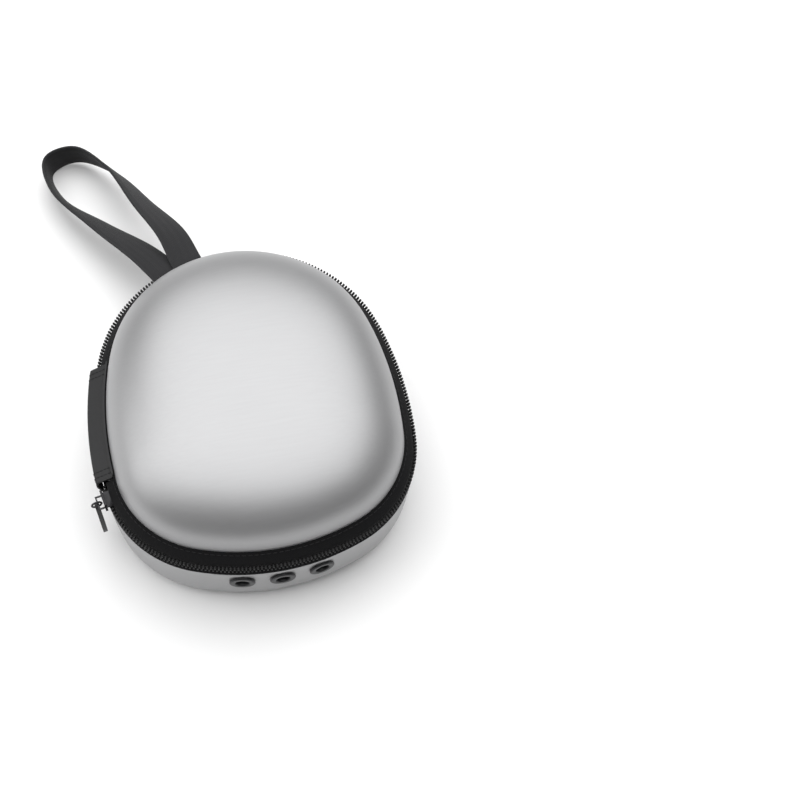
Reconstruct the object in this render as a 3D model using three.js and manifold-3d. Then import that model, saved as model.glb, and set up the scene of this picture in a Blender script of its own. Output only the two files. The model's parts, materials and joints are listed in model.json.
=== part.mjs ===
// A hard headphone carrying case: a moulded base and a domed lid joined by a fabric spine,
// closed by a coil zip with one slider, with three vent eyelets and a webbing hand loop.
// Millimetres, +Z up. The origin is the middle of the base's underside. The eyelets face -Y,
// the hand loop leaves the +Y end and the fabric spine is on the -X side.
import * as THREE from "three";
import { mergeVertices } from "three/addons/utils/BufferGeometryUtils.js";
import Module from "manifold-3d";

const wasm = await Module();
wasm.setup();

// ---------- Driving dimensions ----------
// The case is widest at the zip line, so its plan sizes are measured there.
const CASE_WIDTH = 172;
const CASE_LENGTH = 196;
const CASE_HEIGHT = 90;
const ZIP_HEIGHT = 48;

// Plan outline: four tangent arcs a side.
const NARROW_END_EASE = 4; // the narrow end's radius is this much under half the width
const SIDE_RADIUS = 206;
const CORNER_RADIUS = 62;
const WIDE_END_RADIUS = 126;

// Wall layers, and the clearance between any two sewn or glued pieces.
const SKIN = 0.8;
const FOAM = 3.2;
const LINING = 0.7;
const GAP = 0.3;

// Base bowl.
const BASE_RIM_DROP = 7; // below the zip line
const BASE_SETBACK = 0.5;
const BASE_DRAFT = 2; // degrees
const BASE_CORNER_RADIUS = 14;

// Lid dome.
const DOME_EDGE_RISE = 8; // above the zip line
const DOME_SETBACK = 7.5;
const DOME_PLAN_FULLNESS = 2.5;
const DOME_HEIGHT_FULLNESS = 2.3;
const DOME_CENTRE_Y = -4;

// Zip tapes and teeth.
const TAPE = 0.8;
const TAPE_LOWER_BEND = 4.2; // below the zip line
const TAPE_UPPER_BEND = 3.4; // above the zip line
const TOOTH_WIDTH = 2;
const TOOTH_HEIGHT = 2.2;
const CHAIN_SPLIT = 0.6; // from the zip line to either row of teeth

// Bindings inside the rims.
const BINDING = 1;
const BASE_BINDING_HEIGHT = 3;
const LID_BINDING_HEIGHT = 5;
const BASE_BINDING_EASE = 0.3;
const LID_BINDING_CLEARANCE = 0.17; // from the lining, where it leans in at the binding's top

// Fabric spine.
const SPINE_LENGTH = 68;
const SPINE_TO_CORNER = 4; // from the spine's front end back to the start of the corner arc
const SPINE = 1;
const SPINE_BULGE = 3; // outside the zip line
const SPINE_BEND = 3; // above and below the zip line
const SPINE_COVER = 3; // over each skin
const SPINE_SPLIT = 0.3; // from the zip line to either half
const COVER_INSET = 3.6;

// Eyelets and their washers.
const EYELET_COUNT = 3;
const EYELET_SPACING = 21.5;
const EYELET_DROP = 10; // centre, below the base's rim
const EYELET_FLANGE_RADIUS = 7;
const EYELET_FLANGE = 1;
const EYELET_BARREL_RADIUS = 4.4;
const EYELET_BORE_RADIUS = 3.7;
const EYELET_HOLE_CLEARANCE = 0.35;
const EYELET_LIP = 0.5; // rounding of the flange, and the barrel's end past its washer
const WASHER = 0.8;
const WASHER_RADIUS = 6.6;
const WASHER_SEAT = 0.5; // clears the curve of the wall

// Slider, link ring and pull tab.
const SLIDER_LENGTH = 9;
const SLIDER_PLATE = 1.2;
const SLIDER_CLEARANCE = 0.6;
const SLIDER_ANGLE = 4.2; // degrees along the corner arc from where the arc starts
const SLIDER_REACH = 4; // outer plate, above and below the zip line
const SLIDER_INNER_ABOVE = 2.4;
const SLIDER_INNER_BELOW = 2.8;
const SLIDER_ROOM = 1.2; // free tape past either end of the slider
const BRIDGE = 0.8;
const BRIDGE_LENGTH = 7.8;
const BRIDGE_STANDOFF = 2.9;
const BRIDGE_DROP = 1; // below the zip line
const RING_RADIUS = 2.6;
const RING_WIRE = 0.6;
const RING_OUT = 0.6; // the ring's centre, from the bridge
const RING_DOWN = 0.9;
const PULL_LENGTH = 36;
const PULL_WIDTH = 9;
const PULL = 2.4;
const PULL_EYE_RADIUS = 1.35;
const PULL_NECK_RADIUS = 2.5;
const PULL_TIP_RADIUS = 1.6;
const PULL_UPPER_SWELL = 0.25; // where the sides' handles are, as shares of the pull's length
const PULL_LOWER_SWELL = 0.8;
const PULL_HANG = 0.15; // the eye's centre, above the ring's wire

// Hand loop: centre line as steps along the rim, out from the rim, and share of the fall to the ground.
const WEBBING_WIDTH = 18;
const WEBBING = 1.6;
const LOOP_BEARING = 109; // degrees round the narrow end from +X
const LOOP_DROP = 2.2; // the loop's root, below the base's rim
const LOOP_REST = 0.5; // the loop's lower edge, above the ground
const LOOP_PATH = [
  [8, 6.5, 0],
  [10.5, 31, 0.14],
  [8, 64, 0.45],
  [4, 106, 0.78],
  [-9, 131, 0.97],
  [-27, 131, 1],
  [-32, 107, 0.93],
  [-21, 68, 0.66],
  [-9.5, 29, 0.24],
  [-5.5, 6.5, 0],
];
const LOOP_STEPS = 60;
const STUB_SPREAD = 18; // half the length of the sewn-in ends along the rim
const STUB_DEPTH = 4.4;
const STUB_PROUD = 2;

// Net pocket in the lid.
const NET = 0.8;
const NET_RISE = 3.4; // above the lid's edge
const NET_SETBACK = 1.2; // from the lining
const NET_MOUTH_Y = 20;
const HEM = 2.4;
const HEM_SHORTER = 14; // than the pocket's mouth, at either end

// Steps that each curve is made in.
const NARROW_STEPS = 7;
const SIDE_STEPS = 5;
const CORNER_STEPS = 9;
const WIDE_FACET = 12; // longest facet of the wide end, short enough for the flat washers behind it
const BOWL_CORNER_STEPS = 5;
const DOME_STEPS = 9;
const ROUND_STEPS = 24;
const WIRE_STEPS = 8;
const MERGE_DISTANCE = 1e-4;
const FAR = 600; // past the case in every direction

// ---------- Places worked out from them ----------
const radians = THREE.MathUtils.degToRad;
const UP = new THREE.Vector3(0, 0, 1);
const TAPE_INSET = TOOTH_WIDTH + GAP;
const FOAM_DEPTH = SKIN + GAP;
const LINING_DEPTH = FOAM_DEPTH + FOAM + GAP;
const WALL = LINING_DEPTH + LINING;
const BASE_RIM_Z = ZIP_HEIGHT - BASE_RIM_DROP;
const DOME_EDGE_Z = ZIP_HEIGHT + DOME_EDGE_RISE;
const CASE_MIDDLE = new THREE.Vector2(0, 0);
const DOME_MIDDLE = new THREE.Vector2(0, DOME_CENTRE_Y);

const narrowRadius = CASE_WIDTH / 2 - NARROW_END_EASE;
const narrowCentre = new THREE.Vector2(0, CASE_LENGTH / 2 - narrowRadius);
const wideCentre = new THREE.Vector2(0, WIDE_END_RADIUS - CASE_LENGTH / 2);
const sideCentre = findSideCentre();
const cornerCentre = findCornerCentre();
const sideStart = angleBetween(sideCentre, narrowCentre);
const cornerStart = angleBetween(sideCentre, cornerCentre);
const wideStart = angleBetween(wideCentre, cornerCentre);

// The side arc's centre: level with its widest point, and in line with the narrow end's arc.
function findSideCentre() {
  const x = CASE_WIDTH / 2 - SIDE_RADIUS;
  const reach = SIDE_RADIUS - narrowRadius;
  return new THREE.Vector2(x, narrowCentre.y - Math.sqrt(reach ** 2 - x ** 2));
}

// The corner arc's centre, which touches the side arc and the wide end's arc from inside.
function findCornerCentre() {
  const fromSide = SIDE_RADIUS - CORNER_RADIUS;
  const fromWide = WIDE_END_RADIUS - CORNER_RADIUS;
  const line = wideCentre.clone().sub(sideCentre);
  const distance = line.length();
  const along = (fromSide ** 2 - fromWide ** 2 + distance ** 2) / (2 * distance);
  const across = Math.sqrt(fromSide ** 2 - along ** 2);
  line.normalize();
  return new THREE.Vector2(line.y, -line.x)
    .multiplyScalar(across)
    .addScaledVector(line, along)
    .add(sideCentre);
}

function angleBetween(from, to) {
  return Math.atan2(to.y - from.y, to.x - from.x);
}

// ---------- Plan outline ----------
// Points with their outward directions, counter-clockwise from the middle of the narrow end.
function planOutline() {
  const wideSteps = Math.ceil((WIDE_END_RADIUS * (wideStart + Math.PI / 2)) / WIDE_FACET);
  const half = [
    ...arc(narrowCentre, narrowRadius, Math.PI / 2, sideStart, NARROW_STEPS),
    ...arc(sideCentre, SIDE_RADIUS, sideStart, cornerStart, SIDE_STEPS),
    ...arc(cornerCentre, CORNER_RADIUS, cornerStart, wideStart, CORNER_STEPS),
    ...arc(wideCentre, WIDE_END_RADIUS, wideStart, -Math.PI / 2, wideSteps),
    onArc(wideCentre, WIDE_END_RADIUS, -Math.PI / 2),
  ];
  return [...half.map(mirrored), ...half.slice(1, -1).reverse()];
}

function arc(centre, radius, from, to, steps) {
  const points = [];
  for (let i = 0; i < steps; i++) points.push(onArc(centre, radius, from + ((to - from) * i) / steps));
  return points;
}

function onArc(centre, radius, angle) {
  const outward = new THREE.Vector2(Math.cos(angle), Math.sin(angle));
  return { at: centre.clone().addScaledVector(outward, radius), outward };
}

function mirrored({ at, outward }) {
  return {
    at: new THREE.Vector2(-at.x, at.y),
    outward: new THREE.Vector2(-outward.x, outward.y),
  };
}

const outline = planOutline();

// ---------- Solids ----------
function solidOf(geometry) {
  const bare = geometry.clone();
  bare.deleteAttribute("normal");
  bare.deleteAttribute("uv");
  const merged = mergeVertices(bare, MERGE_DISTANCE);
  return new wasm.Manifold(
    new wasm.Mesh({
      numProp: 3,
      vertProperties: merged.getAttribute("position").array,
      triVerts: new Uint32Array(merged.index.array),
    }),
  );
}

function geometryOf(solid) {
  const { vertProperties, triVerts } = solid.getMesh();
  const geometry = new THREE.BufferGeometry();
  geometry.setAttribute("position", new THREE.BufferAttribute(new Float32Array(vertProperties), 3));
  geometry.setIndex(new THREE.BufferAttribute(new Uint32Array(triVerts), 1));
  geometry.computeVertexNormals();
  return geometry;
}

// A ring or bowl that follows the plan outline. Each profile point is { inset, z, reach }:
// inset runs inwards from the outline, and reach is 1 at the rim and 0 in the middle.
function sweepAround(profile, middle = CASE_MIDDLE) {
  const columns = outline.length;
  const rows = profile.length;
  const blank = profile.map(({ z }) => new THREE.Vector2(1, z));
  const geometry = new THREE.LatheGeometry(blank, columns);
  const position = geometry.getAttribute("position");
  for (let column = 0; column <= columns; column++) {
    const { at, outward } = outline[column % columns];
    profile.forEach(({ inset, z, reach = 1 }, row) => {
      const place = at.clone().addScaledVector(outward, -inset);
      place.sub(middle).multiplyScalar(reach).add(middle);
      position.setXYZ(column * rows + row, place.x, place.y, z);
    });
  }
  return solidOf(geometry);
}

// A closed profile of even thickness to the inside of a path of [inset, z] that runs upwards.
function ribbon(path, thickness) {
  const outer = path.map(([inset, z]) => ({ inset, z }));
  const inner = path.map((point, i) => innerPoint(path[i - 1], point, path[i + 1], thickness));
  return [...outer, ...inner.reverse(), outer[0]];
}

// The point inside one point of a path: mitred at a bend, level at an end.
function innerPoint(before, [inset, z], after, thickness) {
  const normals = [];
  if (before) normals.push(inwardNormal(before, [inset, z]));
  if (after) normals.push(inwardNormal([inset, z], after));
  if (normals.length === 1) return { inset: inset + thickness / normals[0].x, z };
  const mitre = normals[0].clone().add(normals[1]).normalize();
  const length = thickness / mitre.dot(normals[0]);
  return { inset: inset + mitre.x * length, z: z + mitre.y * length };
}

function inwardNormal([insetA, zA], [insetB, zB]) {
  return new THREE.Vector2(zB - zA, insetA - insetB).normalize();
}

function box(min, max) {
  const size = new THREE.Vector3().subVectors(max, min);
  const middle = new THREE.Vector3().addVectors(min, max).multiplyScalar(0.5);
  return solidOf(new THREE.BoxGeometry(size.x, size.y, size.z).translate(middle.x, middle.y, middle.z));
}

// Everything on the spine's side of the case between two distances along it.
function spineZone(fromY, toY) {
  return box(new THREE.Vector3(-FAR, fromY, -FAR), new THREE.Vector3(0, toY, FAR));
}

// A closed lathe profile of [radius, height], stood on a point along an axis.
function turned(points, origin, axis) {
  const profile = [...points, points[0]].map(([radius, height]) => new THREE.Vector2(radius, height));
  const turn = new THREE.Quaternion().setFromUnitVectors(new THREE.Vector3(0, 1, 0), axis);
  const geometry = new THREE.LatheGeometry(profile, ROUND_STEPS).applyQuaternion(turn);
  return solidOf(geometry.translate(origin.x, origin.y, origin.z));
}

// ---------- Base ----------
// How far the base's outer face lies inside the outline at a height.
function baseInset(z) {
  return BASE_SETBACK + (BASE_RIM_Z - z) * Math.tan(radians(BASE_DRAFT));
}

// One face of the bowl, from the middle of its floor to its rim, at a depth into the wall.
function bowlFace(depth) {
  const draft = radians(BASE_DRAFT);
  const radius = BASE_CORNER_RADIUS - depth;
  const centreInset = baseInset(BASE_CORNER_RADIUS) + BASE_CORNER_RADIUS / Math.cos(draft);
  const face = [{ inset: centreInset, z: depth, reach: 0 }];
  for (let i = 0; i <= BOWL_CORNER_STEPS; i++) {
    const angle = Math.PI / 2 - ((Math.PI / 2 - draft) * i) / BOWL_CORNER_STEPS;
    const inset = centreInset - radius * Math.cos(angle);
    face.push({ inset, z: BASE_CORNER_RADIUS - radius * Math.sin(angle) });
  }
  face.push({ inset: baseInset(BASE_RIM_Z) + depth / Math.cos(draft), z: BASE_RIM_Z });
  return face;
}

function bowlLayer(depth, thickness) {
  const layer = sweepAround([...bowlFace(depth), ...bowlFace(depth + thickness).reverse()]);
  return [...eyeletHoles, loopNotch].reduce((solid, cut) => solid.subtract(cut), layer);
}

// ---------- Lid ----------
// One face of the dome, from its edge to the middle of its top, at a depth into the wall.
function domeFace(depth) {
  const face = [];
  for (let i = 0; i <= DOME_STEPS; i++) {
    const angle = ((Math.PI / 2) * i) / DOME_STEPS;
    const last = i === DOME_STEPS;
    face.push({
      inset: DOME_SETBACK + depth,
      reach: last ? 0 : Math.cos(angle) ** (2 / DOME_PLAN_FULLNESS),
      z: DOME_EDGE_Z + (CASE_HEIGHT - depth - DOME_EDGE_Z) * Math.sin(angle) ** (2 / DOME_HEIGHT_FULLNESS),
    });
  }
  return face;
}

function domeLayer(depth, thickness) {
  return sweepAround([...domeFace(depth + thickness).reverse(), ...domeFace(depth)], DOME_MIDDLE);
}

// ---------- Zip ----------
const spineFrontY = cornerCentre.y + CORNER_RADIUS * Math.sin(cornerStart) + SPINE_TO_CORNER;
const spineBackY = spineFrontY + SPINE_LENGTH;

function lowerTape() {
  const path = [
    [BASE_SETBACK, BASE_RIM_Z + GAP],
    [TAPE_INSET, ZIP_HEIGHT - TAPE_LOWER_BEND],
    [TAPE_INSET, ZIP_HEIGHT - CHAIN_SPLIT],
  ];
  return outsideSpine(sweepAround(ribbon(path, TAPE)));
}

function upperTape() {
  const path = [
    [TAPE_INSET, ZIP_HEIGHT + CHAIN_SPLIT],
    [TAPE_INSET, ZIP_HEIGHT + TAPE_UPPER_BEND],
    [DOME_SETBACK, DOME_EDGE_Z - GAP],
  ];
  return outsideSpine(sweepAround(ribbon(path, TAPE)));
}

function teethRow(fromZ) {
  const path = [
    [0, fromZ],
    [0, fromZ + TOOTH_HEIGHT],
  ];
  return outsideSpine(sweepAround(ribbon(path, TOOTH_WIDTH)));
}

// The zip stops at the spine, whose cloth takes its place there.
function outsideSpine(ring) {
  return ring.subtract(spineZone(spineFrontY - GAP, spineBackY + GAP));
}

// The lid's teeth stop short of the slider's resting place, so the lid can lift past it.
function upperTeeth() {
  const room = SLIDER_LENGTH / 2 + SLIDER_ROOM;
  const zone = spineZone(sliderPlace.at.y - room, spineFrontY);
  return teethRow(ZIP_HEIGHT + CHAIN_SPLIT).subtract(zone);
}

// ---------- Spine ----------
function spinePart(path, thickness) {
  return sweepAround(ribbon(path, thickness)).intersect(spineZone(spineFrontY, spineBackY));
}

function spineBaseCloth() {
  const overSkin = baseInset(BASE_RIM_Z) - GAP - SPINE;
  const path = [
    [overSkin, BASE_RIM_Z - SPINE_COVER],
    [overSkin, BASE_RIM_Z],
    [-SPINE_BULGE, ZIP_HEIGHT - SPINE_BEND],
    [-SPINE_BULGE, ZIP_HEIGHT - SPINE_SPLIT],
  ];
  return spinePart(path, SPINE);
}

function spineLidCloth() {
  const overSkin = DOME_SETBACK - GAP - SPINE;
  const path = [
    [-SPINE_BULGE, ZIP_HEIGHT + SPINE_SPLIT],
    [-SPINE_BULGE, ZIP_HEIGHT + SPINE_BEND],
    [overSkin, DOME_EDGE_Z],
    [overSkin, DOME_EDGE_Z + SPINE_COVER],
  ];
  return spinePart(path, SPINE);
}

function spineBaseCover() {
  const path = [
    [COVER_INSET, BASE_RIM_Z + GAP],
    [COVER_INSET, ZIP_HEIGHT - SPINE_SPLIT],
  ];
  return spinePart(path, SPINE);
}

function spineLidCover() {
  const path = [
    [COVER_INSET, ZIP_HEIGHT + SPINE_SPLIT],
    [COVER_INSET, ZIP_HEIGHT + TAPE_UPPER_BEND],
    [DOME_SETBACK + SKIN, DOME_EDGE_Z - GAP],
  ];
  return spinePart(path, SPINE);
}

// ---------- Bindings ----------
function lowerBinding() {
  const inset = baseInset(BASE_RIM_Z - BASE_BINDING_HEIGHT) + WALL + BASE_BINDING_EASE;
  const path = [
    [inset, BASE_RIM_Z - BASE_BINDING_HEIGHT],
    [inset, BASE_RIM_Z],
  ];
  return sweepAround(ribbon(path, BINDING));
}

// How far the lining's lowest facets lean in over a rise above the dome's edge, where it is farthest out.
function liningLean(rise) {
  const [edge, next] = domeFace(WALL);
  const farthest = Math.max(CASE_WIDTH / 2, CASE_LENGTH / 2 - DOME_CENTRE_Y) - edge.inset;
  return (rise * (1 - next.reach) * farthest) / (next.z - edge.z);
}

function upperBinding() {
  const rise = LID_BINDING_HEIGHT / 2;
  const inset = DOME_SETBACK + WALL + liningLean(rise) + LID_BINDING_CLEARANCE;
  const path = [
    [inset, DOME_EDGE_Z - rise],
    [inset, DOME_EDGE_Z + rise],
  ];
  return sweepAround(ribbon(path, BINDING));
}

// ---------- Eyelets ----------
// Where each eyelet's axis meets the base's outer face, and the way the face looks there.
function eyeletPlaces() {
  const z = BASE_RIM_Z - EYELET_DROP;
  const draft = radians(BASE_DRAFT);
  const places = [];
  for (let i = 0; i < EYELET_COUNT; i++) {
    const along = (i - (EYELET_COUNT - 1) / 2) * EYELET_SPACING;
    const { at, outward } = onArc(wideCentre, WIDE_END_RADIUS, -Math.PI / 2 + along / WIDE_END_RADIUS);
    const face = at.clone().addScaledVector(outward, -baseInset(z));
    const axis = new THREE.Vector3(outward.x, outward.y, -Math.tan(draft)).normalize();
    places.push({ origin: new THREE.Vector3(face.x, face.y, z), axis });
  }
  return places;
}

function eyeletHole({ origin, axis }) {
  const radius = EYELET_BARREL_RADIUS + EYELET_HOLE_CLEARANCE;
  const reach = 2 * WALL;
  const points = [[0, -reach], [radius, -reach], [radius, reach], [0, reach]];
  return turned(points, origin, axis);
}

function eyelet({ origin, axis }) {
  const end = -(WALL + WASHER_SEAT + WASHER + EYELET_LIP);
  const face = GAP + EYELET_FLANGE;
  const points = [
    [EYELET_BORE_RADIUS, end],
    [EYELET_BARREL_RADIUS, end],
    [EYELET_BARREL_RADIUS, GAP],
    [EYELET_FLANGE_RADIUS, GAP],
    [EYELET_FLANGE_RADIUS, face - EYELET_LIP],
    [EYELET_FLANGE_RADIUS - EYELET_LIP, face],
    [EYELET_BORE_RADIUS + EYELET_LIP, face],
    [EYELET_BORE_RADIUS, face - EYELET_LIP],
  ];
  return turned(points, origin, axis);
}

function eyeletWasher({ origin, axis }) {
  const inner = EYELET_BARREL_RADIUS + EYELET_HOLE_CLEARANCE;
  const outer = -(WALL + WASHER_SEAT);
  const points = [
    [inner, outer - WASHER],
    [WASHER_RADIUS, outer - WASHER],
    [WASHER_RADIUS, outer],
    [inner, outer],
  ];
  return turned(points, origin, axis);
}

// ---------- Slider, link ring and pull tab ----------
// All three are made about the slider's own place: x outwards, y up, z along the zip.
const sliderPlace = mirrored(onArc(cornerCentre, CORNER_RADIUS, cornerStart - radians(SLIDER_ANGLE)));
const outerFace = SLIDER_CLEARANCE + SLIDER_PLATE;
const bridgeOut = outerFace + BRIDGE_STANDOFF;
const ringCentre = new THREE.Vector2(bridgeOut + RING_OUT, -BRIDGE_DROP - RING_DOWN);

function atSlider(geometry) {
  const outward = new THREE.Vector3(sliderPlace.outward.x, sliderPlace.outward.y, 0);
  const along = new THREE.Vector3().crossVectors(outward, UP);
  const place = new THREE.Matrix4().makeBasis(outward, UP, along);
  place.setPosition(sliderPlace.at.x, sliderPlace.at.y, ZIP_HEIGHT);
  return solidOf(geometry.applyMatrix4(place));
}

function sliderBlock(fromX, toX, fromY, toY, fromZ, toZ) {
  const block = new THREE.BoxGeometry(toX - fromX, toY - fromY, toZ - fromZ);
  block.translate((fromX + toX) / 2, (fromY + toY) / 2, (fromZ + toZ) / 2);
  return atSlider(block);
}

function slider() {
  const half = SLIDER_LENGTH / 2;
  const innerFace = -(TAPE_INSET + TAPE + SLIDER_CLEARANCE);
  const innerBack = innerFace - SLIDER_PLATE;
  const webHalf = CHAIN_SPLIT - GAP;
  const blocks = [
    sliderBlock(SLIDER_CLEARANCE, outerFace, -SLIDER_REACH, SLIDER_REACH, -half, half),
    sliderBlock(innerBack, innerFace, -SLIDER_INNER_BELOW, SLIDER_INNER_ABOVE, -half, half),
    sliderBlock(innerBack, outerFace, -webHalf, webHalf, -half, half),
    ...bridgeBlocks(),
  ];
  return blocks.reduce((whole, block) => whole.add(block));
}

function bridgeBlocks() {
  const half = BRIDGE_LENGTH / 2;
  const low = -BRIDGE_DROP - BRIDGE / 2;
  const high = -BRIDGE_DROP + BRIDGE / 2;
  const back = SLIDER_CLEARANCE;
  const front = bridgeOut + BRIDGE / 2;
  return [
    sliderBlock(front - BRIDGE, front, low, high, -half, half),
    sliderBlock(back, front, low, high, -half, -half + BRIDGE),
    sliderBlock(back, front, low, high, half - BRIDGE, half),
  ];
}

function pullLink() {
  const ring = new THREE.TorusGeometry(RING_RADIUS, RING_WIRE, WIRE_STEPS, ROUND_STEPS);
  return atSlider(ring.translate(ringCentre.x, ringCentre.y, 0));
}

// A flat almond: a small round head about the eye, widest below its middle, with a round tip.
function pullTab() {
  const tipDown = PULL_LENGTH - PULL_NECK_RADIUS - PULL_TIP_RADIUS;
  // Each side is a cubic curve, whose middle is at the full half width for this handle.
  const handle = (4 * PULL_WIDTH - PULL_NECK_RADIUS - PULL_TIP_RADIUS) / 6;
  const upper = -PULL_UPPER_SWELL * tipDown;
  const lower = -PULL_LOWER_SWELL * tipDown;
  const drop = new THREE.Shape();
  drop.absarc(0, 0, PULL_NECK_RADIUS, 0, Math.PI, false);
  drop.bezierCurveTo(-handle, upper, -handle, lower, -PULL_TIP_RADIUS, -tipDown);
  drop.absarc(0, -tipDown, PULL_TIP_RADIUS, Math.PI, 2 * Math.PI, false);
  drop.bezierCurveTo(handle, lower, handle, upper, PULL_NECK_RADIUS, 0);
  const eye = new THREE.Path();
  eye.absarc(0, 0, PULL_EYE_RADIUS, 0, 2 * Math.PI, true);
  drop.holes.push(eye);
  const tab = new THREE.ExtrudeGeometry(drop, { depth: PULL, bevelEnabled: false, curveSegments: WIRE_STEPS });
  tab.translate(0, ringCentre.y - RING_RADIUS + PULL_HANG, -PULL / 2);
  tab.rotateY(Math.PI / 2);
  return atSlider(tab.translate(ringCentre.x, 0, 0));
}

// ---------- Hand loop ----------
const loopPlace = onArc(narrowCentre, narrowRadius, radians(LOOP_BEARING));
const loopRootZ = BASE_RIM_Z - LOOP_DROP;

// The centre line, the upper end first; each end is half the stack above or below the root.
function loopCurve() {
  const along = new THREE.Vector2(loopPlace.outward.y, -loopPlace.outward.x);
  const restZ = WEBBING_WIDTH / 2 + LOOP_REST;
  const stack = (WEBBING + GAP) / 2;
  const points = LOOP_PATH.map(([sideways, out, fall], i) => {
    const place = loopPlace.at.clone().addScaledVector(along, sideways).addScaledVector(loopPlace.outward, out);
    const level = loopRootZ + (i < LOOP_PATH.length / 2 ? stack : -stack) * (1 - fall);
    return new THREE.Vector3(place.x, place.y, THREE.MathUtils.lerp(level, restZ, fall));
  });
  return new THREE.CatmullRomCurve3(points, false, "centripetal");
}

// Flat webbing: level where it is sewn in, and half a turn later level again at its other end.
function handLoop() {
  const curve = loopCurve();
  const strip = new THREE.BoxGeometry(1, WEBBING_WIDTH, WEBBING, LOOP_STEPS, 1, 1);
  const position = strip.getAttribute("position");
  for (let i = 0; i < position.count; i++) {
    const share = position.getX(i) + 0.5;
    const tangent = curve.getTangentAt(share);
    const side = new THREE.Vector3().crossVectors(UP, tangent).normalize();
    const face = new THREE.Vector3().crossVectors(tangent, side);
    const across = side.applyAxisAngle(tangent, Math.PI * share);
    const through = face.applyAxisAngle(tangent, Math.PI * share);
    const place = curve.getPointAt(share);
    place.addScaledVector(across, position.getY(i)).addScaledVector(through, position.getZ(i));
    position.setXYZ(i, place.x, place.y, place.z);
  }
  return solidOf(strip);
}

// The loop's sewn-in ends sit in a notch of the base's rim, which is their size and a gap larger.
function loopStub(gap) {
  const height = 2 * WEBBING + GAP;
  const spread = STUB_SPREAD + gap;
  const low = loopRootZ - height / 2 - gap;
  const high = gap ? BASE_RIM_Z + FAR : loopRootZ + height / 2;
  const stub = new THREE.BoxGeometry(2 * spread, STUB_DEPTH + STUB_PROUD + gap, high - low);
  stub.translate(0, (STUB_PROUD - STUB_DEPTH - gap) / 2, (low + high) / 2);
  stub.rotateZ(radians(LOOP_BEARING) - Math.PI / 2);
  return solidOf(stub.translate(loopPlace.at.x, loopPlace.at.y, 0));
}

// ---------- Net pocket ----------
function netPocket() {
  const z = DOME_EDGE_Z + NET_RISE;
  const inset = DOME_SETBACK + WALL + NET_SETBACK;
  const profile = [
    { inset, z, reach: 0 },
    { inset, z },
    { inset, z: z + NET },
    { inset, z: z + NET, reach: 0 },
  ];
  const mouth = box(new THREE.Vector3(-FAR, NET_MOUTH_Y, -FAR), new THREE.Vector3(FAR, FAR, FAR));
  return sweepAround(profile).subtract(mouth);
}

function pocketHem() {
  const z = DOME_EDGE_Z + NET_RISE + NET / 2;
  const half = CASE_WIDTH / 2 - DOME_SETBACK - WALL - HEM_SHORTER;
  const y = NET_MOUTH_Y + GAP;
  return box(new THREE.Vector3(-half, y, z - HEM / 2), new THREE.Vector3(half, y + HEM, z + HEM / 2));
}

// ---------- Assembly ----------
const eyeletSpots = eyeletPlaces();
const eyeletHoles = eyeletSpots.map(eyeletHole);
const loopNotch = loopStub(GAP);

const FINISHES = {
  silverCloth: { color: 0xb4b6ba, roughness: 0.55, metalness: 0.1 },
  foam: { color: 0x1b1b1d, roughness: 0.95, metalness: 0 },
  lining: { color: 0x26262a, roughness: 0.95, metalness: 0 },
  blackTape: { color: 0x151517, roughness: 0.85, metalness: 0 },
  zipTeeth: { color: 0x0e0e10, roughness: 0.4, metalness: 0 },
  spineCloth: { color: 0x2a2a2e, roughness: 0.8, metalness: 0 },
  blackMetal: { color: 0x111114, roughness: 0.35, metalness: 0.9 },
  pullRubber: { color: 0x1a1a1c, roughness: 0.6, metalness: 0 },
  webbing: { color: 0x2e2e32, roughness: 0.8, metalness: 0 },
  net: { color: 0x1d1d20, roughness: 0.9, metalness: 0 },
};

const group = new THREE.Group();

function addPiece(name, solid, finish) {
  const mesh = new THREE.Mesh(geometryOf(solid), new THREE.MeshStandardMaterial(FINISHES[finish]));
  mesh.name = name;
  group.add(mesh);
}

addPiece("lower_skin", bowlLayer(0, SKIN), "silverCloth");
addPiece("lower_shell", bowlLayer(FOAM_DEPTH, FOAM), "foam");
addPiece("lower_lining", bowlLayer(LINING_DEPTH, LINING), "lining");
addPiece("lower_binding", lowerBinding(), "blackTape");
addPiece("lower_zip_tape", lowerTape(), "blackTape");
addPiece("lower_zip_teeth", teethRow(ZIP_HEIGHT - CHAIN_SPLIT - TOOTH_HEIGHT), "zipTeeth");
addPiece("upper_skin", domeLayer(0, SKIN), "silverCloth");
addPiece("upper_shell", domeLayer(FOAM_DEPTH, FOAM), "foam");
addPiece("upper_lining", domeLayer(LINING_DEPTH, LINING), "lining");
addPiece("upper_binding", upperBinding(), "blackTape");
addPiece("upper_zip_tape", upperTape(), "blackTape");
addPiece("upper_zip_teeth", upperTeeth(), "zipTeeth");
addPiece("spine_base_cloth", spineBaseCloth(), "spineCloth");
addPiece("spine_lid_cloth", spineLidCloth(), "spineCloth");
addPiece("spine_base_cover", spineBaseCover(), "lining");
addPiece("spine_lid_cover", spineLidCover(), "lining");
eyeletSpots.forEach((spot, i) => {
  addPiece(`eyelet_${i + 1}`, eyelet(spot), "blackMetal");
  addPiece(`eyelet_washer_${i + 1}`, eyeletWasher(spot), "blackMetal");
});
addPiece("zip_slider", slider(), "blackMetal");
addPiece("pull_link", pullLink(), "blackMetal");
addPiece("pull_tab", pullTab(), "pullRubber");
addPiece("hand_loop", handLoop(), "webbing");
addPiece("loop_root", loopStub(0), "webbing");
addPiece("net_pocket", netPocket(), "net");
addPiece("pocket_hem", pocketHem(), "blackTape");

export default group;
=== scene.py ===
# %% [markdown]
# # A zip-up headphone case
# The case is a moulded base and a domed lid, both silver cloth over stiff foam, joined by a
# fabric spine on one side and closed by a coil zip round the rest. The imported model is loaded
# first as a fixed frame: every new piece takes its place from it, and most ride on one of its bodies.

import json
import math

import bpy
from mathutils import Matrix, Vector


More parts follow.
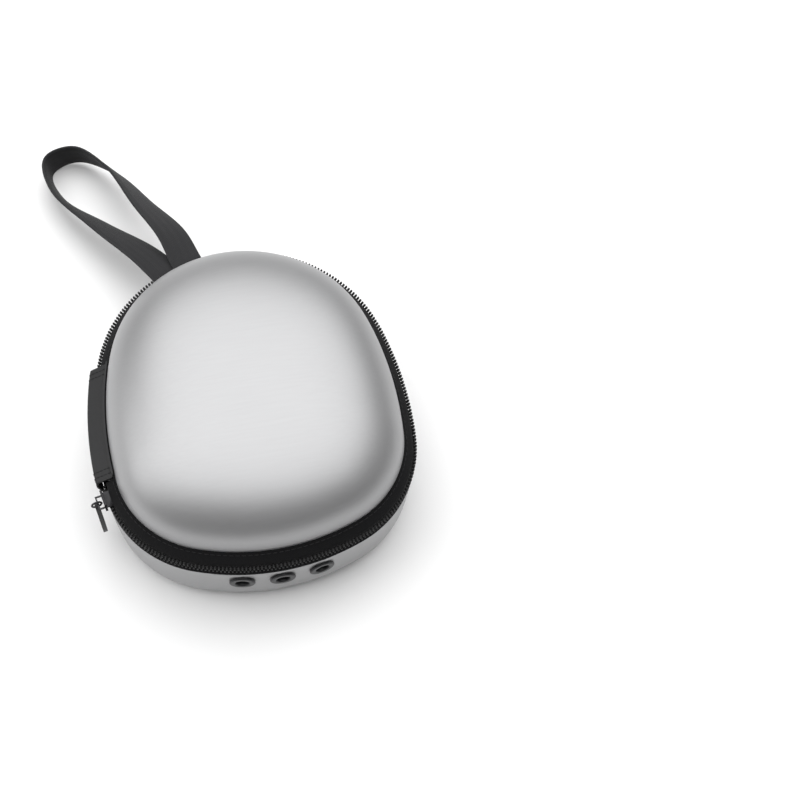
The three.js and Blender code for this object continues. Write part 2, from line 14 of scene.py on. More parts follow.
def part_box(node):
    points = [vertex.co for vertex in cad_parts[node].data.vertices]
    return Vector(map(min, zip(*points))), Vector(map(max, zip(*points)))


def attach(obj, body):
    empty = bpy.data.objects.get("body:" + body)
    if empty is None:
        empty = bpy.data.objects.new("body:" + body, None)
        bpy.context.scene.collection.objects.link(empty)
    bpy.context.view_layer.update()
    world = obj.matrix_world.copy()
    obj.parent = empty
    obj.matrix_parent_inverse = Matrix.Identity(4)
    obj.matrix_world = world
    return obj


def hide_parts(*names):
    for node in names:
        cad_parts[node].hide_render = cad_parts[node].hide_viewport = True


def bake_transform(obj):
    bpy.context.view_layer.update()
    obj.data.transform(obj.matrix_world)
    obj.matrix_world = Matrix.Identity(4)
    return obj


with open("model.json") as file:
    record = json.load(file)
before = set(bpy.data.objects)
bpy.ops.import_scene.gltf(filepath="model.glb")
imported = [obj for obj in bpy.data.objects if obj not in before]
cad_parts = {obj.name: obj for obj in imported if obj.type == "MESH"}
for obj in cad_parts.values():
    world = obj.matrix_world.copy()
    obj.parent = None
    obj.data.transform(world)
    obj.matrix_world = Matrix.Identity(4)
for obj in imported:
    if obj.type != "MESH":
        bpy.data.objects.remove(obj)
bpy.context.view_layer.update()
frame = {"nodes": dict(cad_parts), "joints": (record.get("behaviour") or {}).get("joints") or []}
MM = 0.001

# %% [markdown]
# # Selecting and finishing
# Blender's operators act on whatever is selected, so each step starts by selecting one piece and
# nothing else. Modifiers are applied as soon as they are added, so that each piece ends as a
# plain mesh.


# %% Selecting one piece
def select_only(piece):
    if bpy.context.mode != "OBJECT":
        bpy.ops.object.mode_set(mode="OBJECT")
    bpy.ops.object.select_all(action="DESELECT")
    piece.hide_set(False)
    piece.select_set(True)
    bpy.context.view_layer.objects.active = piece


def select_faces(piece, chosen):
    select_only(piece)
    bpy.ops.object.mode_set(mode="EDIT")
    bpy.ops.mesh.select_mode(type="FACE")
    bpy.ops.mesh.select_all(action="DESELECT")
    bpy.ops.object.mode_set(mode="OBJECT")
    for face in piece.data.polygons:
        face.select = chosen(face)
    bpy.ops.object.mode_set(mode="EDIT")


def apply_modifier(piece, kind, **settings):
    select_only(piece)
    modifier = piece.modifiers.new(kind.title(), kind)
    for name, value in settings.items():
        setattr(modifier, name, value)
    bpy.ops.object.modifier_apply(modifier=modifier.name)
    return piece


def smooth(piece, levels):
    return apply_modifier(piece, "SUBSURF", levels=levels, render_levels=levels)


def shade(piece, angle=40):
    select_only(piece)
    bpy.ops.object.shade_smooth_by_angle(angle=math.radians(angle))
    return piece


# %% [markdown]
# # Working from a copy of a stored solid
# The stored solids have flat facets. A copy of one is merged, its triangles are paired into
# quads, its sharp rims are creased, and a subdivision surface then rounds everything between
# the rims. That keeps each piece where the frame has it and gives it a smooth outline.


# %% Copying a stored solid
def copy_of(node, name):
    piece = bpy.data.objects.new(name, frame["nodes"][node].data.copy())
    piece.data.materials.clear()
    bpy.context.scene.collection.objects.link(piece)
    select_only(piece)
    bpy.ops.object.mode_set(mode="EDIT")
    bpy.ops.mesh.select_all(action="SELECT")
    bpy.ops.mesh.remove_doubles(threshold=0.01 * MM)
    bpy.ops.mesh.tris_convert_to_quads(face_threshold=math.radians(30), shape_threshold=math.radians(60))
    bpy.ops.object.mode_set(mode="OBJECT")
    return piece


def crease_sharp_edges(piece, angle=35, amount=0.9):
    select_only(piece)
    bpy.ops.object.mode_set(mode="EDIT")
    bpy.ops.mesh.select_mode(type="EDGE")
    bpy.ops.mesh.select_all(action="DESELECT")
    bpy.ops.mesh.edges_select_sharp(sharpness=math.radians(angle))
    bpy.ops.transform.edge_crease(value=amount)
    bpy.ops.object.mode_set(mode="OBJECT")
    return piece


def smooth_copy(node, levels=2, angle=35):
    piece = copy_of(node, node + "_finished")
    crease_sharp_edges(piece, angle)
    smooth(piece, levels)
    return shade(piece)


def finish_piece(piece, body, material, slot, *nodes):
    piece.data.materials.clear()
    piece.data.materials.append(material)
    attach(piece, body)
    if nodes:
        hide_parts(*nodes)
    print(piece.name, "has", len(piece.data.polygons), "faces and rides on", body)
    return piece


# %% [markdown]
# # Shader maths
# Every finish below is a small graph of nodes. Wrapping a socket in a class lets the graph be
# written as a sum: `weave * 0.3 + grain * 0.7` adds the Math nodes by itself.


# %% A socket that can be added and multiplied
class Wire:
    def __init__(self, tree, socket=None):
        self.tree = tree
        self.socket = socket

    def node(self, kind, output=0, settings=None, sockets=None):
        made = self.tree.nodes.new(kind)
        for name, value in (settings or {}).items():
            setattr(made, name, value)
        for name, value in (sockets or {}).items():
            if isinstance(value, Wire):
                self.tree.links.new(value.socket, made.inputs[name])
            else:
                made.inputs[name].default_value = value
        return Wire(self.tree, made.outputs[output])

    def maths(self, operation, first, second=0.0):
        return self.node("ShaderNodeMath", settings={"operation": operation}, sockets={0: first, 1: second})

    def __add__(self, other):
        return self.maths("ADD", self, other)

    def __sub__(self, other):
        return self.maths("SUBTRACT", self, other)

    def __rsub__(self, other):
        return self.maths("SUBTRACT", other, self)

    def __mul__(self, other):
        return self.maths("MULTIPLY", self, other)

    def __gt__(self, other):
        return self.maths("GREATER_THAN", self, other)

    __radd__ = __add__
    __rmul__ = __mul__


# %% Starting a finish
def new_finish(name, roughness, metallic=0.0, specular=0.5, sheen=0.0, coat=0.0):
    material = bpy.data.materials.new(name)
    material.use_nodes = True
    tree = material.node_tree
    shader = tree.nodes["Principled BSDF"]
    shader.inputs["Roughness"].default_value = roughness
    shader.inputs["Metallic"].default_value = metallic
    shader.inputs["Specular IOR Level"].default_value = specular
    shader.inputs["Sheen Weight"].default_value = sheen
    shader.inputs["Coat Weight"].default_value = coat
    return material, Wire(tree), shader


def connect(wire, shader, name):
    wire.tree.links.new(wire.socket, shader.inputs[name])


def noise(start, vector, per_metre, detail=2.0):
    sockets = {"Vector": vector, "Scale": per_metre, "Detail": detail}
    return start.node("ShaderNodeTexNoise", sockets=sockets)


def place(start, stretch=(1, 1, 1)):
    spot = start.node("ShaderNodeTexCoord", output="Object")
    return start.node("ShaderNodeMapping", sockets={"Vector": spot, "Scale": stretch})


def relief(start, height, shader, distance, strength=1.0):
    sockets = {"Height": height, "Distance": distance, "Strength": strength}
    connect(start.node("ShaderNodeBump", sockets=sockets), shader, "Normal")


def two_tone(start, mask, dark, light, shader):
    colour = start.node(
        "ShaderNodeMix",
        output=2,
        settings={"data_type": "RGBA"},
        sockets={0: mask, 6: (*dark, 1), 7: (*light, 1)},
    )
    connect(colour, shader, "Base Color")


# %% [markdown]
# # Silver cloth
# The skin is a fine cloth with a metallic face. It is smooth to the eye, with a faint brushed
# grain along one way. A partly metallic shader gives the broad sheen, noise stretched along one
# axis gives the brushing, and a fine noise a little relief.


# %% Silver cloth
def silver_cloth():
    material, start, shader = new_finish("silver_cloth", roughness=0.45, metallic=0.75, specular=0.4)
    grain = noise(start, place(start), 2600, 3)
    brushed = noise(start, place(start, (40, 900, 900)), 1, 2)
    cloud = noise(start, place(start), 14, 2)
    mask = brushed * 0.5 + cloud * 0.3 + grain * 0.2
    two_tone(start, mask, (0.33, 0.33, 0.335), (0.39, 0.39, 0.395), shader)
    connect(0.4 + grain * 0.06 + brushed * 0.04, shader, "Roughness")
    relief(start, grain + brushed * 0.25, shader, 0.02 * MM, 0.5)
    return material


# %% [markdown]
# # Black woven tape
# A zip's tape is a dense twill: slanting ribs, crossed by finer ones that slant the other way.
# Both waves are worked out from the height and from the angle round the middle.


# %% Woven tape
def ribs(start, value, pitch):
    turns = value * (2 * math.pi / pitch)
    return start.maths("SINE", turns) * 0.5 + 0.5


def woven(name, colour, lighter, pitch_mm, roughness=0.82, sheen=0.03):
    material, start, shader = new_finish(name, roughness=roughness, specular=0.15, sheen=sheen)
    spot = place(start)
    axes = [start.node("ShaderNodeSeparateXYZ", output=i, sockets={"Vector": spot}) for i in range(3)]
    middle_radius = 85 * MM
    around = start.maths("ARCTAN2", axes[1], axes[0]) * middle_radius
    pitch = pitch_mm * MM
    twill = ribs(start, around + axes[2], pitch) * 0.6 + ribs(start, around - axes[2], pitch * 0.5) * 0.4
    fuzz = noise(start, spot, 3500, 2)
    two_tone(start, twill * 0.6 + fuzz * 0.4, colour, lighter, shader)
    connect(roughness - 0.1 + fuzz * 0.15, shader, "Roughness")
    relief(start, twill + fuzz * 0.4, shader, 0.12 * MM, 0.7)
    return material


# %% [markdown]
# # Grained sheet
# The spine and the pull are soft black sheet and rubber with a pebbled face. A cell pattern makes
# the pebbles, and two noises of different size change the colour a little over the sheet.


# %% Grained sheet and rubber
def grained(name, colour, lighter, roughness, grain_mm, depth_mm, sheen=0.0):
    material, start, shader = new_finish(name, roughness=roughness, specular=0.4, sheen=sheen)
    spot = place(start)
    pebble = start.node(
        "ShaderNodeTexVoronoi",
        settings={"feature": "SMOOTH_F1"},
        sockets={"Vector": spot, "Scale": 1 / (grain_mm * MM)},
    )
    cloud = noise(start, spot, 60, 3)
    fine = noise(start, spot, 4000, 2)
    two_tone(start, cloud * 0.6 + fine * 0.4, colour, lighter, shader)
    connect(roughness - 0.08 + cloud * 0.16, shader, "Roughness")
    relief(start, pebble + fine * 0.3, shader, depth_mm * MM, 0.6)
    return material


# %% [markdown]
# # Painted metal
# The slider, the link and the eyelets are die-cast or pressed metal with a thin black coat. The
# coat is glossy, with a slight orange peel, and a little paler where it has rubbed.


# %% Painted metal
def black_metal():
    material, start, shader = new_finish("black_metal", roughness=0.35, metallic=0.6, specular=0.4, coat=0.1)
    spot = place(start)
    rub = noise(start, spot, 700, 4)
    peel = noise(start, spot, 1500, 1)
    two_tone(start, rub, (0.008, 0.008, 0.009), (0.04, 0.04, 0.043), shader)
    connect(0.28 + rub * 0.22, shader, "Roughness")
    relief(start, peel, shader, 0.03 * MM, 0.4)
    return material


# %% [markdown]
# # Nylon teeth and thread
# Coil teeth are bent from a smooth nylon wire, and the thread is twisted polyester. Both are so
# small that a gloss and a fine noise are all that shows.


# %% Nylon and thread
def nylon(name, colour, roughness):
    material, start, shader = new_finish(name, roughness=roughness, specular=0.3)
    spot = place(start)
    twist = noise(start, spot, 2500, 2)
    two_tone(start, twist, [c * 0.6 for c in colour], [c * 1.6 for c in colour], shader)
    connect(roughness - 0.1 + twist * 0.2, shader, "Roughness")
    relief(start, twist, shader, 0.04 * MM, 0.5)
    return material


# %% [markdown]
# # Webbing
# The hand loop is flat woven webbing. Its ribs follow the strap as it turns, so this pattern
# reads the piece's own map: how far along the strap in one way, and how far across in the other.


# %% Webbing
CHEVRON_WIDTH = 2.25 * MM
HERRING_PITCH = 1.1 * MM
YARN_PITCH = 0.75 * MM
SELVEDGE_FROM = 8.2 * MM  # from the strap's middle to where its thicker edge begins


def webbing():
    material, start, shader = new_finish("webbing", roughness=0.78, specular=0.2, sheen=0.06)
    strap_map = start.node("ShaderNodeUVMap", settings={"uv_map": "strap"})
    along = start.node("ShaderNodeSeparateXYZ", output=0, sockets={"Vector": strap_map})
    across = start.node("ShaderNodeSeparateXYZ", output=1, sockets={"Vector": strap_map})
    chevron = start.maths("PINGPONG", across, CHEVRON_WIDTH)
    herring = ribs(start, along + chevron, HERRING_PITCH)
    yarns = ribs(start, across, YARN_PITCH)
    fuzz = noise(start, place(start), 3000, 2)
    edge = start.maths("ABSOLUTE", across) > SELVEDGE_FROM
    weave = herring * 0.6 + yarns * 0.4
    two_tone(start, weave * 0.5 + fuzz * 0.3 + edge * 0.2, (0.011, 0.011, 0.012), (0.03, 0.03, 0.032), shader)
    connect(0.68 + fuzz * 0.2, shader, "Roughness")
    relief(start, weave + fuzz * 0.3 + edge * 0.4, shader, 0.18 * MM, 0.8)
    return material


# %% [markdown]
# # Net
# The pocket's front is a stretch net of small holes. Cutting each hole in the mesh
# would take far too many faces, so the holes are cut by the finish: a pattern of cells feeds
# Alpha, and the threads are what is left between them.


# %% Net
NET_CELL = 2.6 * MM
NET_THREAD = 0.17  # half a thread's width, as a share of a cell


def net():
    material, start, shader = new_finish("net", roughness=0.85, sheen=0.2)
    spot = place(start, (1, 1, 0))
    edge = start.node(
        "ShaderNodeTexVoronoi",
        settings={"feature": "DISTANCE_TO_EDGE"},
        sockets={"Vector": spot, "Scale": 1 / NET_CELL, "Randomness": 0.25},
    )
    thread = 1 - (edge > NET_THREAD)
    fuzz = noise(start, spot, 4000, 2)
    two_tone(start, fuzz, (0.01, 0.01, 0.011), (0.04, 0.04, 0.043), shader)
    connect(thread, shader, "Alpha")
    relief(start, fuzz, shader, 0.1 * MM, 0.5)
    return material


# %% [markdown]
# # Making the finishes
# Colours are linear values. The blacks are dark but not zero, because black cloth and rubber
# still return a little light.

# %% All the finishes
SILVER = silver_cloth()
TAPE = woven("black_tape", (0.0025, 0.0025, 0.003), (0.006, 0.006, 0.0065), pitch_mm=1.0)
SPINE = grained(
    "spine_cloth",
    (0.006, 0.006, 0.0065),
    (0.012, 0.012, 0.013),
    roughness=0.6,
    grain_mm=0.5,
    depth_mm=0.05,
    sheen=0.03,
)
RUBBER = grained(
    "pull_rubber",
    (0.01, 0.01, 0.011),
    (0.022, 0.022, 0.024),
    roughness=0.5,
    grain_mm=0.6,
    depth_mm=0.05,
)
METAL = black_metal()
TEETH = nylon("zip_teeth", (0.005, 0.005, 0.0055), roughness=0.6)
THREAD = nylon("black_thread", (0.008, 0.008, 0.009), roughness=0.6)
WEBBING = webbing()
LINING = grained(
    "lining",
    (0.012, 0.012, 0.013),
    (0.03, 0.03, 0.033),
    roughness=0.9,
    grain_mm=0.9,
    depth_mm=0.15,
    sheen=0.5,
)
FOAM = grained(
    "foam",
    (0.012, 0.012, 0.013),
    (0.025, 0.025, 0.027),
    roughness=0.9,
    grain_mm=0.7,
    depth_mm=0.2,
)
NET = net()
print("finishes:", [m.name for m in bpy.data.materials if m.use_nodes])

# %% [markdown]
# # The moulded shells
# Each half is a skin, a foam shell and a lining, bound at the rim and sewn to a zip tape. Skin,
# lining and tape are subdivided twice, because their curves show. The foam and the bindings show
# only as narrow bands, so once is enough. The stored tapes end a little short of the zip line.
# Their copies are carried nearly all the way to it, so that no light shows between the rows.

# %% Shells
TAPE_EDGE_REACH = 0.3 * MM
TAPE_CLOSING = 0.9  # the share of the way to the zip line


def meet_at_zip_line(tape, edge, line):
    for vertex in tape.data.vertices:
        if abs(vertex.co.z - edge) < TAPE_EDGE_REACH:
            vertex.co.z += (line - edge) * TAPE_CLOSING


zip_edges = {"lower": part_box("lower_zip_tape")[1].z, "upper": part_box("upper_zip_tape")[0].z}
zip_line = sum(zip_edges.values()) / 2
for half, body in (("lower", "base"), ("upper", "lid")):
    finish_piece(smooth_copy(half + "_skin", 2), body, SILVER, "silver_cloth", half + "_skin")
    finish_piece(smooth_copy(half + "_shell", 1), body, FOAM, "foam", half + "_shell")
    finish_piece(smooth_copy(half + "_lining", 2), body, LINING, "lining", half + "_lining")
    finish_piece(smooth_copy(half + "_binding", 1), body, TAPE, "black_tape", half + "_binding")
    tape = smooth_copy(half + "_zip_tape", 2)
    meet_at_zip_line(tape, zip_edges[half], zip_line)
    finish_piece(tape, body, TAPE, "black_tape", half + "_zip_tape")

# %% [markdown]
# # The path of the zip
# Teeth and stitches are repeats that run round the case. Each is modelled once at the origin,
# repeated by an Array modifier, and laid along a guide curve by a Curve modifier. The guides
# come from the stored solids: the corner points of a wall's outer face, in order round the
# middle. The guide starts and ends at the spine, where the order starts too.


# %% Guide curves
FACING_OUT = 0.5  # the least share of a face's direction that points away from the middle
LEVEL_REACH = 0.2 * MM


def wall_points(node, top=True):
    mesh = frame["nodes"][node].data
    low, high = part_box(node)
    level = high.z if top else low.z
    found = {}
    for face in mesh.polygons:
        centre = face.center
        radial = Vector((centre.x, centre.y, 0)).normalized()
        if face.normal.dot(radial) < FACING_OUT:
            continue
        for index in face.vertices:
            spot = mesh.vertices[index].co
            if abs(spot.z - level) < LEVEL_REACH:
                found[(round(spot.x, 5), round(spot.y, 5))] = spot.copy()
    return sorted(found.values(), key=lambda spot: math.atan2(spot.y, spot.x))


def guide_curve(name, points, lift=0.0, inward=0.0):
    bpy.ops.object.select_all(action="DESELECT")
    bpy.ops.curve.primitive_nurbs_path_add(location=(0, 0, 0))
    guide = bpy.context.object
    guide.name = name
    guide.data.splines.clear()
    spline = guide.data.splines.new("BEZIER")
    spline.bezier_points.add(len(points) - 1)
    for knot, spot in zip(spline.bezier_points, points):
        inset = -Vector((spot.x, spot.y, 0)).normalized() * inward
        knot.co = spot + inset + Vector((0, 0, lift))
        knot.handle_left_type = "AUTO"
        knot.handle_right_type = "AUTO"
    guide.data.twist_mode = "Z_UP"
    guide.data.resolution_u = 16
    return guide


def length_of(guide):
    return guide.data.splines[0].calc_length()


def laid_along(item, guide, pitch, start=0.0):
    count = int((length_of(guide) - start) / pitch)
    select_only(item)
    bpy.ops.object.mode_set(mode="EDIT")
    bpy.ops.mesh.select_all(action="SELECT")
    bpy.ops.transform.translate(value=(start, 0, 0))
    bpy.ops.object.mode_set(mode="OBJECT")
    apply_modifier(
        item,
        "ARRAY",
        count=count,
        use_relative_offset=False,
        use_constant_offset=True,
        constant_offset_displace=(pitch, 0, 0),
    )
    apply_modifier(item, "CURVE", object=guide, deform_axis="POS_X")
    bpy.data.objects.remove(guide)
    print(item.name, "repeats", count, "times")
    return item


# %% [markdown]
# # Teeth
# A coil's teeth look like a row of small rounded bars. The two rows are half a pitch apart, as
# teeth that mesh are, but each stops just short of the zip line, so that they never touch. One
# bar has only a few faces, because there are hundreds of them.


# %% One tooth
TOOTH_PITCH = 2.0 * MM
TOOTH_SIZE = (1.0 * MM, 1.5 * MM, 1.9 * MM)
TOOTH_ROUNDING = 0.28 * MM
TOOTH_LIFT = 0.8 * MM  # a tooth's middle, above or below the edge of its row
TEETH_INSET = 1.1 * MM  # from the outside of the stored row to the teeth's middle
TEETH_START = {"lower": 0.6 * MM, "upper": 1.6 * MM}  # half a pitch apart


def tooth(name, size, lift):
    bpy.ops.object.select_all(action="DESELECT")
    bpy.ops.mesh.primitive_cube_add(size=1, location=(0, 0, 0))
    piece = bpy.context.object
    piece.name = name
    bpy.ops.object.mode_set(mode="EDIT")
    bpy.ops.mesh.select_all(action="SELECT")
    bpy.ops.transform.resize(value=size)
    bpy.ops.transform.translate(value=(0, 0, lift))
    bpy.ops.mesh.bevel(offset=TOOTH_ROUNDING, segments=2, affect="EDGES")
    bpy.ops.object.mode_set(mode="OBJECT")
    return piece


for half, body, lift in (("lower", "base", -TOOTH_LIFT), ("upper", "lid", TOOTH_LIFT)):
    node = half + "_zip_teeth"
    points = wall_points(node, top=half == "lower")
    guide = guide_curve(node + "_guide", points, inward=TEETH_INSET)
    row = laid_along(tooth(node + "_coil", TOOTH_SIZE, lift), guide, TOOTH_PITCH, TEETH_START[half])
    finish_piece(shade(row), body, TEETH, "zip_teeth", node)

# %% [markdown]
# # Rows of stitches
# Each half's tape is sewn to its skin along the edge that is farther from the zip line. A stitch
# is a short bar of thread with tucked-in ends. It is made once, from a cylinder cut across the
# middle, and repeated along a guide that follows that edge.


# %% One stitch
STITCH_LENGTH = 2.3 * MM
STITCH_THICKNESS = 0.45 * MM
STITCH_PITCH = 3.2 * MM
STITCH_START = 2 * MM
STITCH_TAPER = 0.35  # the share of its thickness that a stitch loses at its ends


def stitch(name, length=STITCH_LENGTH, thickness=STITCH_THICKNESS):
    bpy.ops.object.select_all(action="DESELECT")
    along_x = (0, math.pi / 2, 0)
    bpy.ops.mesh.primitive_cylinder_add(vertices=6, radius=thickness / 2, depth=length, rotation=along_x)
    piece = bpy.context.object
    piece.name = name
    bpy.ops.object.transform_apply(location=True, rotation=True, scale=True)
    bpy.ops.object.mode_set(mode="EDIT")
    bpy.ops.mesh.select_all(action="SELECT")
    bpy.ops.mesh.subdivide(number_cuts=1)
    bpy.ops.object.mode_set(mode="OBJECT")
    for vertex in piece.data.vertices:
        share = abs(vertex.co.x) / (length / 2)
        vertex.co.y *= 1 - STITCH_TAPER * share**2
        vertex.co.z *= 1 - STITCH_TAPER * share**2
    return shade(piece, 60)


def stitch_row(name, guide, body):
    row = laid_along(stitch(name), guide, STITCH_PITCH, STITCH_START)
    return finish_piece(row, body, THREAD, "black_tape")


# %% Stitches round both edges
lid_edge = wall_points("upper_zip_tape", top=True)
lid_guide = guide_curve("lid_edge_guide", lid_edge, lift=-0.75 * MM, inward=-1.35 * MM)
stitch_row("lid_edge_stitches", lid_guide, "lid")
base_edge = wall_points("lower_zip_tape", top=False)
base_guide = guide_curve("base_edge_guide", base_edge, lift=1.3 * MM, inward=0.35 * MM)
stitch_row("base_edge_stitches", base_guide, "base")

# %% [markdown]
# # Spine
# One strip of grained sheet runs from the base to the lid and is the case's hinge. It is stored
# as two halves.


# %% Joining two stored halves
SEAM_REACH = 0.6 * MM


def joint_named(name):
    return next(joint for joint in frame["joints"] if joint["name"] == name)


def joined_halves(first, second, name):
    lower = copy_of(first, name)
    upper = copy_of(second, name + "_upper")
    seam = (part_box(first)[1].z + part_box(second)[0].z) / 2
    select_only(lower)
    upper.select_set(True)
    bpy.ops.object.join()
    select_faces(
        lower,
        lambda face: abs(face.normal.z) > 0.9 and abs(face.center.z - seam) < SEAM_REACH,
    )
    bpy.ops.mesh.delete(type="FACE")
    bpy.ops.mesh.select_mode(type="EDGE")
    bpy.ops.mesh.select_all(action="DESELECT")
    bpy.ops.mesh.select_non_manifold()
    bpy.ops.mesh.bridge_edge_loops()
    bpy.ops.object.mode_set(mode="OBJECT")
    crease_sharp_edges(lower, 50)
    smooth(lower, 3)
    return shade(lower)


def blend_over_hinge(piece):
    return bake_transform(piece)


def finish_bending(piece, material, slot, *nodes):
    piece.data.materials.clear()
    piece.data.materials.append(material)
    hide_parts(*nodes)
    return blend_over_hinge(piece)


spine = joined_halves("spine_base_cloth", "spine_lid_cloth", "spine")
spine_cover = joined_halves("spine_base_cover", "spine_lid_cover", "spine_cover")
print("spine faces:", len(spine.data.polygons))

# %% [markdown]
# # Stitches across the spine
# Two rows of stitches cross the spine near each of its ends. The guides are dropped onto the
# finished strip with ray casts, so the stitches lie on its face.


# %% Stitches on the spine
ROW_FIRST = 3 * MM  # from the spine's end to its first row
ROW_SECOND = 6 * MM
ROW_MARGIN = 0.06  # the share of the spine's height left bare below a row
ROW_SPAN = 0.9
OUTSIDE = -0.2  # well outside the spine, where the rays start
THREAD_PROUD = 0.1 * MM


def dropped_on(piece, y, steps=14):
    low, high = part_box("spine_base_cloth")[0].z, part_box("spine_lid_cloth")[1].z
    points = []
    for i in range(steps):
        z = low + (high - low) * (ROW_MARGIN + ROW_SPAN * i / (steps - 1))
        hit, spot, normal, _ = piece.ray_cast(Vector((OUTSIDE, y, z)), Vector((1, 0, 0)))
        if hit:
            points.append(spot + normal * THREAD_PROUD)
    return points


spine_low, spine_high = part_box("spine_base_cloth")
front_rows = [spine_low.y + ROW_FIRST, spine_low.y + ROW_SECOND]
back_rows = [spine_high.y - ROW_FIRST, spine_high.y - ROW_SECOND]
for number, y in enumerate(front_rows + back_rows, 1):
    guide = guide_curve(f"spine_guide_{number}", dropped_on(spine, y))
    item = stitch(f"spine_stitches_{number}", length=1.7 * MM, thickness=0.4 * MM)
    row = laid_along(item, guide, pitch=2.3 * MM, start=0.8 * MM)
    row.data.materials.append(THREAD)
    blend_over_hinge(row)
finish_bending(spine, SPINE, "spine_cloth", "spine_base_cloth", "spine_lid_cloth")
finish_bending(spine_cover, LINING, "lining", "spine_base_cover", "spine_lid_cover")

# %% [markdown]
# # Eyelets
# Each vent is a pressed metal eyelet with a washer clenched on behind the wall. The stored ring
# only needs rounding: its rims are creased and the rest is subdivided.

# %% Rounded eyelets
for number in (1, 2, 3):
    for node in (f"eyelet_{number}", f"eyelet_washer_{number}"):
        finish_piece(smooth_copy(node, 2, 30), "base", METAL, "black_metal", node)

# %% [markdown]
# # Slider, link and pull
# The slider is a die casting with soft edges, so its copy is bevelled. The link is bent wire.
# The pull is moulded rubber, an almond that is thick in the middle, so its rim is bevelled wide.


# %% Bevelled copies
def bevelled_copy(node, width, segments=3):
    piece = copy_of(node, node + "_finished")
    sharp = math.radians(40)
    apply_modifier(piece, "BEVEL", width=width, segments=segments, limit_method="ANGLE", angle_limit=sharp)
    return shade(piece)


finish_piece(bevelled_copy("zip_slider", 0.3 * MM), "slider", METAL, "black_metal", "zip_slider")
finish_piece(smooth_copy("pull_link", 1, 80), "link", METAL, "black_metal", "pull_link")
finish_piece(bevelled_copy("pull_tab", 0.8 * MM, 5), "tab", RUBBER, "pull_rubber", "pull_tab")

# %% [markdown]
# # Hand loop
# The loop is one length of webbing, folded so that both ends are sewn into the rim. A copy of
# the stored strip is lengthened into the rim at both ends, where it also takes the place of the
# stored root. It is then mapped ring by ring, so that the weave can follow it, and last rounded.


# %% Lengthening the strip's ends
ROOT_REACH = 25 * MM


def lengthen_ends(strip, root, direction, length):
    select_faces(
        strip,
        lambda face: face.normal.dot(direction) < -0.9 and (face.center - root).length < ROOT_REACH,
    )
    bpy.ops.mesh.extrude_region_move(TRANSFORM_OT_translate={"value": direction * -length})
    bpy.ops.object.mode_set(mode="OBJECT")


# %% Mapping the strip ring by ring
RING_CORNERS = 4


def rings_of(strip):
    links = {v.index: set() for v in strip.data.vertices}
    for edge in strip.data.edges:
        a, b = edge.vertices
        links[a].add(b)
        links[b].add(a)
    corners = [i for i, near in links.items() if len(near) == 3]
    first = max(corners, key=lambda i: strip.data.vertices[i].co.z)
    ring = {first} | {i for i in links[first] if i in corners}
    ring |= {i for j in set(ring) for i in links[j] if i in corners}
    rings, seen = [], set()
    while ring:
        rings.append(ring)
        seen |= ring
        ring = {i for j in ring for i in links[j]} - seen
    return rings, links


def map_strip(strip, width):
    rings, links = rings_of(strip)
    spots = [v.co for v in strip.data.vertices]
    start = min(rings[0])
    partner = min((i for i in links[start] if i in rings[0]), key=lambda i: (spots[i] - spots[start]).length)
    across = {i: (width / 2 if i in (start, partner) else -width / 2) for i in rings[0]}
    along = dict.fromkeys(rings[0], 0.0)
    middle = sum((spots[i] for i in rings[0]), Vector()) / RING_CORNERS
    travelled = 0.0
    for before, ring in zip(rings, rings[1:]):
        here = sum((spots[i] for i in ring), Vector()) / RING_CORNERS
        travelled += (here - middle).length
        middle = here
        for i in ring:
            near = min(before & links[i], key=lambda j: (spots[j] - spots[i]).length)
            across[i] = across[near]
            along[i] = travelled
    layer = strip.data.uv_layers.new(name="strap")
    for loop in strip.data.loops:
        layer.data[loop.index].uv = (along[loop.vertex_index], across[loop.vertex_index])
    print("webbing:", len(rings), "rings,", round(travelled / MM), "mm long")


# %% The loop
WEBBING_WIDTH = 18 * MM
SEWN_IN = 7.5 * MM
loop_joint = joint_named("loop_swing")
loop_root = Vector(loop_joint["pos_m"])
loop_outward = Vector((0, 0, 1)).cross(Vector(loop_joint["axis"]))
loop = copy_of("hand_loop", "hand_loop_finished")
lengthen_ends(loop, loop_root, loop_outward, SEWN_IN)
map_strip(loop, WEBBING_WIDTH)
crease_sharp_edges(loop, 40, 0.8)
smooth(loop, 2)
shade(loop)
loop.data.materials.append(WEBBING)
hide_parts("hand_loop", "loop_root")
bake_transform(loop)

# %% [markdown]
# # Net pocket
# The net is stretched between the lid's rim and an elastic hem. Its copy is subdivided and let
# out a little in the middle, as a used pocket is. The hem is a soft round band.

# %% Net and hem
NET_SLACK = 2.5 * MM
HEM_ROUNDING = 0.9 * MM
pocket = copy_of("net_pocket", "net_pocket_finished")
crease_sharp_edges(pocket, 50, 1.0)
smooth(pocket, 3)
net_low, net_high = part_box("net_pocket")
net_middle = (net_low + net_high) / 2
for vertex in pocket.data.vertices:
    across = (vertex.co.x - net_middle.x) / (net_high.x - net_middle.x)
    along = (vertex.co.y - net_middle.y) / (net_high.y - net_middle.y)
    vertex.co.z -= NET_SLACK * max(0, 1 - across**2) * max(0, 1 - along**2)
finish_piece(shade(pocket), "lid", NET, "net", "net_pocket")
finish_piece(bevelled_copy("pocket_hem", HEM_ROUNDING, 4), "lid", TAPE, "black_tape", "pocket_hem")

# %% [markdown]
# # Floor and light
# The floor is plain and pale. One broad light overhead makes the dome's soft bright middle and
# leaves the walls darker, a smaller one on the left lifts the spine's side, and a faint even sky
# keeps the black tape readable.


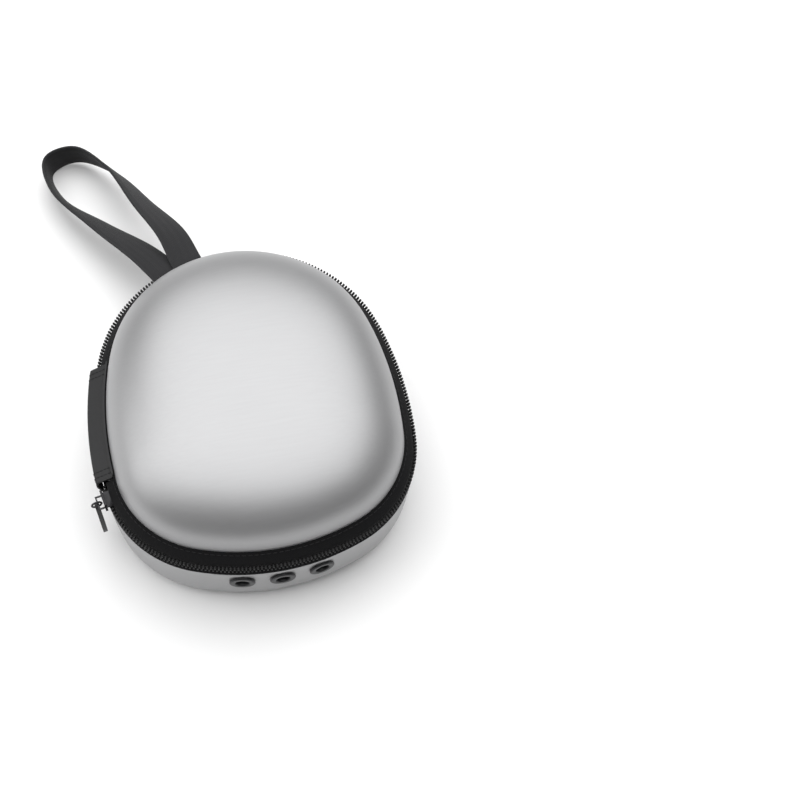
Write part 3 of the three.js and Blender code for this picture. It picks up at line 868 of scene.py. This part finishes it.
# %% Floor
def studio_floor():
    bpy.ops.object.select_all(action="DESELECT")
    bpy.ops.mesh.primitive_plane_add(size=8, location=(0, 0, 0))
    floor = bpy.context.object
    floor.name = "floor"
    print("floor:", floor.dimensions.x, "m wide")
    material, start, shader = new_finish("pale_floor", roughness=0.9, specular=0.1)
    cloud = noise(start, place(start), 6, 2)
    two_tone(start, cloud, (0.8, 0.8, 0.8), (0.84, 0.84, 0.84), shader)
    floor.data.materials.append(material)
    return floor


studio_floor()


# %% Lights
def area_light(name, spot, aim, size, watts):
    light = bpy.data.objects.new(name, bpy.data.lights.new(name, "AREA"))
    light.data.size = size
    light.data.energy = watts
    light.location = spot
    light.rotation_euler = (Vector(aim) - Vector(spot)).to_track_quat("-Z", "Y").to_euler()
    bpy.context.scene.collection.objects.link(light)
    return light


area_light("overhead_light", spot=(0.3, 1.1, 3.6), aim=(0, 0, 0.05), size=6.8, watts=365)
area_light("left_light", spot=(-2.6, 0.4, 1.6), aim=(-0.05, 0, 0.05), size=2.2, watts=32)

SKY_STRENGTH = 0.16
world = bpy.data.worlds.new("sky")
world.use_nodes = True
world.node_tree.nodes["Background"].inputs["Color"].default_value = (1, 1, 1, 1)
world.node_tree.nodes["Background"].inputs["Strength"].default_value = SKY_STRENGTH
bpy.context.scene.world = world
bpy.context.scene.view_settings.view_transform = "Standard"

# %% [markdown]
# # Camera
# The camera looks down on the case from its wide end, turned a little towards the spine and
# rolled, and stands to the right of it, so that the case fills the left of the frame.

# %% Placing the camera
AZIMUTH = math.radians(-20.9)
ELEVATION = math.radians(62.3)
ROLL = math.radians(9.3)
DISTANCE = 0.7566
STEP_RIGHT = 0.0854
STEP_UP = 0.0230
LENS = 58.5


def camera_axes():
    back = Vector(
        (
            math.sin(AZIMUTH) * math.cos(ELEVATION),
            -math.cos(AZIMUTH) * math.cos(ELEVATION),
            math.sin(ELEVATION),
        )
    )
    level = Vector((math.cos(AZIMUTH), math.sin(AZIMUTH), 0))
    upright = back.cross(level)
    right = math.cos(ROLL) * level + math.sin(ROLL) * upright
    up = -math.sin(ROLL) * level + math.cos(ROLL) * upright
    return right, up, back


def studio_camera():
    right, up, back = camera_axes()
    camera = bpy.data.objects.new("camera", bpy.data.cameras.new("camera"))
    camera.data.lens = LENS
    turn = Matrix((right, up, back)).transposed().to_4x4()
    camera.matrix_world = Matrix.Translation(back * DISTANCE + right * STEP_RIGHT + up * STEP_UP) @ turn
    bpy.context.scene.collection.objects.link(camera)
    return camera


bpy.context.scene.camera = studio_camera()
print("camera at", [round(v, 3) for v in bpy.context.scene.camera.location])
